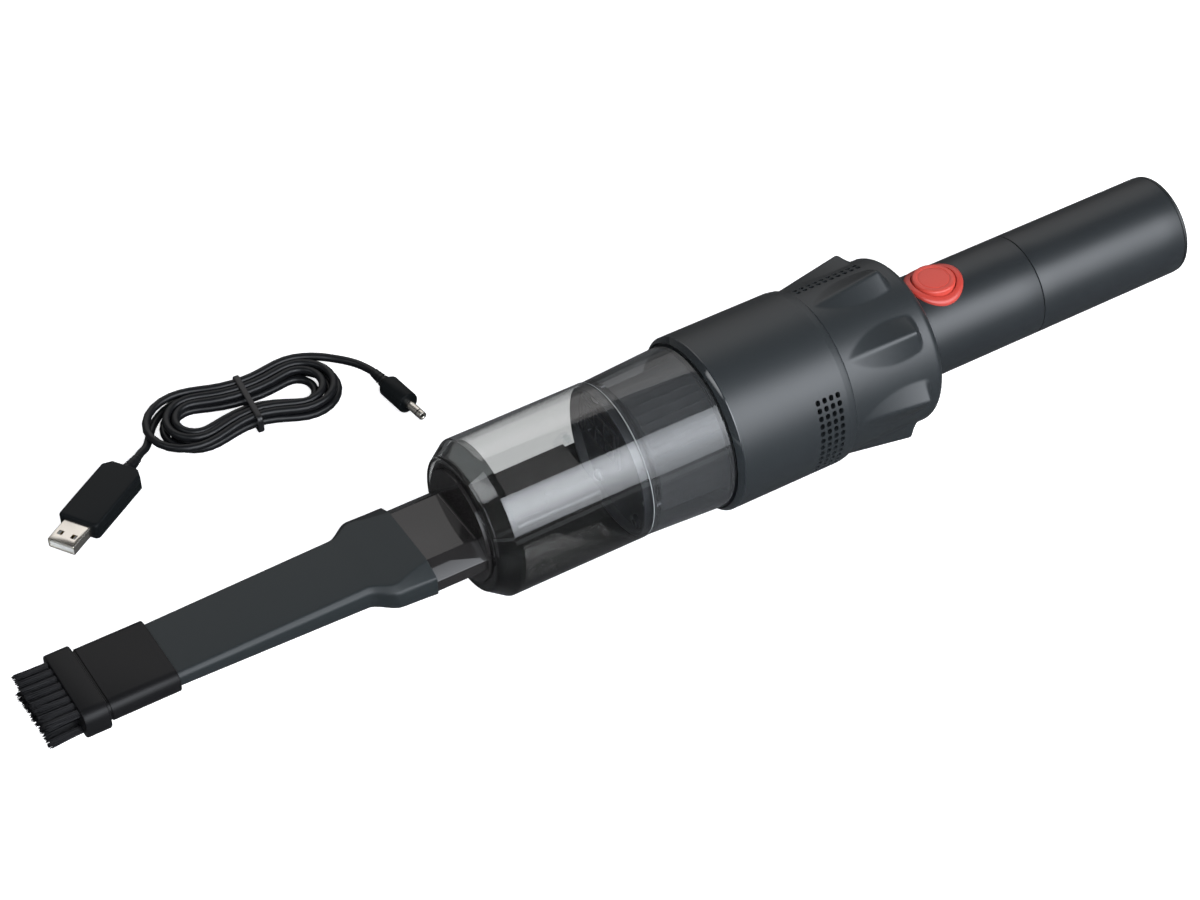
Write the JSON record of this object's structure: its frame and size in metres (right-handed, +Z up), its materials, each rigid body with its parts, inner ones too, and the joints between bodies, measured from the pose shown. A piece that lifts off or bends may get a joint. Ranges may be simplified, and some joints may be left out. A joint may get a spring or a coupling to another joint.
{
  "type": "handheld vacuum cleaner",
  "caption": "Slim cordless hand vacuum: round handle with a red push button, fluted motor housing, clear dust cup, flat crevice nozzle with a slip-on brush, and a charging lead.",
  "frame": {"origin": "on the ground under the middle of the vacuum cleaner, which lies level on a grip lug with its button on top", "axes": "+X along the body towards the end of the handle, +Z up through the button"},
  "size_m": [0.4891, 0.1948, 0.0756],
  "materials": {
    "housing_grey": "fine satin moulding",
    "handle_grey": "smooth satin moulding",
    "cap_black": "satin",
    "button_red": "soft satin",
    "button_ring_red": "soft satin",
    "spring_steel": "drawn",
    "switch_black": "moulded",
    "fan_white": "moulded",
    "board_green": "lacquered",
    "board_parts": "moulded",
    "cell_wrap": "shrink wrapped",
    "cradle_white": "moulded",
    "nickel": "plated",
    "lamp_clear": "clear",
    "wire_red": "smooth",
    "wire_black": "smooth",
    "screw_steel": "zinc plated",
    "inner_black": "moulded",
    "motor_steel": "zinc plated",
    "magnet": "sintered",
    "terminal_brass": "plain",
    "armature_copper": "wound",
    "seal_rubber": "smooth",
    "smoked_clear": "polished, smoked",
    "partition_grey": "moulded",
    "filter_paper": "folded paper",
    "cup_clear": "polished, lightly smoked",
    "neck_smoke": "polished, smoked",
    "nozzle_grey": "satin",
    "collar_black": "satin",
    "bristle_black": "drawn fibre",
    "tongue_white": "moulded",
    "lead_case_black": "moulded",
    "lead_black": "soft satin",
    "tie_black": "moulded"
  },
  "bodies": {
    "body": {"front_housing": "housing_grey", "rear_shell": "housing_grey", "grip_tube": "handle_grey", "battery_tube": "handle_grey", "end_cap": "cap_black", "button_bezel": "button_ring_red", "button_spring": "spring_steel", "power_switch": "switch_black", "control_board": "board_green", "board_parts": "board_parts", "battery_cells": "cell_wrap", "cell_cradle": "cradle_white", "cell_links": "nickel", "charge_board": "board_green", "charging_jack": "switch_black", "charge_lamp": "lamp_clear", "motor_leads": "wire_red", "battery_leads": "wire_red", "charge_leads": "wire_black", "handle_screws": "screw_steel", "fan_cover": "inner_black", "motor_plate": "inner_black", "plate_screws": "screw_steel", "motor_can": "motor_steel", "motor_magnets": "magnet", "motor_end_cap": "switch_black", "motor_terminals": "terminal_brass", "motor_screws": "screw_steel", "chamber_seal": "seal_rubber"},
    "power_button": {"button_cap": "button_red", "switch_plunger": "fan_white"},
    "rotor": {"motor_shaft": "spring_steel", "armature": "armature_copper", "impeller": "fan_white"},
    "chamber": {"filter_chamber": "smoked_clear", "partition": "partition_grey", "partition_screws": "screw_steel"},
    "filter": {"filter_frame": "inner_black", "filter_pleats": "filter_paper"},
    "cup": {"dust_cup": "cup_clear", "inlet_neck": "neck_smoke", "flap_pin": "spring_steel"},
    "flap": {"inlet_flap": "seal_rubber"},
    "nozzle": {"crevice_nozzle": "nozzle_grey"},
    "brush": {"brush_collar": "collar_black", "brush_bristles": "bristle_black"},
    "charging_lead": {"usb_shell": "nickel", "usb_tongue": "tongue_white", "converter_case": "lead_case_black", "usb_relief": "lead_black", "lead_usb_run": "lead_black", "lead_hank": "lead_black", "lead_tie": "tie_black", "lead_dc_run": "lead_black", "plug_relief": "lead_black", "plug_body": "lead_case_black", "plug_barrel": "nickel"}
  },
  "joints": [
    {"name": "power_button", "type": "slide", "parent": "body", "child": "power_button", "axis": [0, 0, -1], "range_m": [0, 0.0015], "stiffness_N_per_m": 300, "springref_m": -0.002, "deforming": ["button_spring"]},
    {"name": "fan_spin", "type": "hinge", "parent": "body", "child": "rotor", "pos_m": [0.0544, 0, 0.0378], "axis": [1, 0, 0], "continuous": true},
    {"name": "chamber_pull", "type": "slide", "parent": "body", "child": "chamber", "axis": [-1, 0, 0], "range_m": [0, 0.1]},
    {"name": "filter_pull", "type": "slide", "parent": "body", "child": "filter", "axis": [-1, 0, 0], "range_m": [0, 0.05]},
    {"name": "cup_pull", "type": "slide", "parent": "chamber", "child": "cup", "axis": [-1, 0, 0], "range_m": [0, 0.07]},
    {"name": "flap_swing", "type": "hinge", "parent": "cup", "child": "flap", "pos_m": [-0.02355, 0, 0.043], "axis": [0, -1, 0], "range_deg": [0, 70]},
    {"name": "nozzle_pull", "type": "slide", "parent": "cup", "child": "nozzle", "axis": [-1, 0, 0], "range_m": [0, 0.03]},
    {"name": "brush_pull", "type": "slide", "parent": "nozzle", "child": "brush", "axis": [-1, 0, 0], "range_m": [0, 0.04]},
    {"name": "lead_lift", "type": "slide", "parent": "body", "child": "charging_lead", "axis": [0, 0, 1], "range_m": [0, 0.05]}
  ],
  "couplings": [
    {"joint": "filter_pull", "follows": "chamber_pull", "ratio": 0.5}
  ]
}
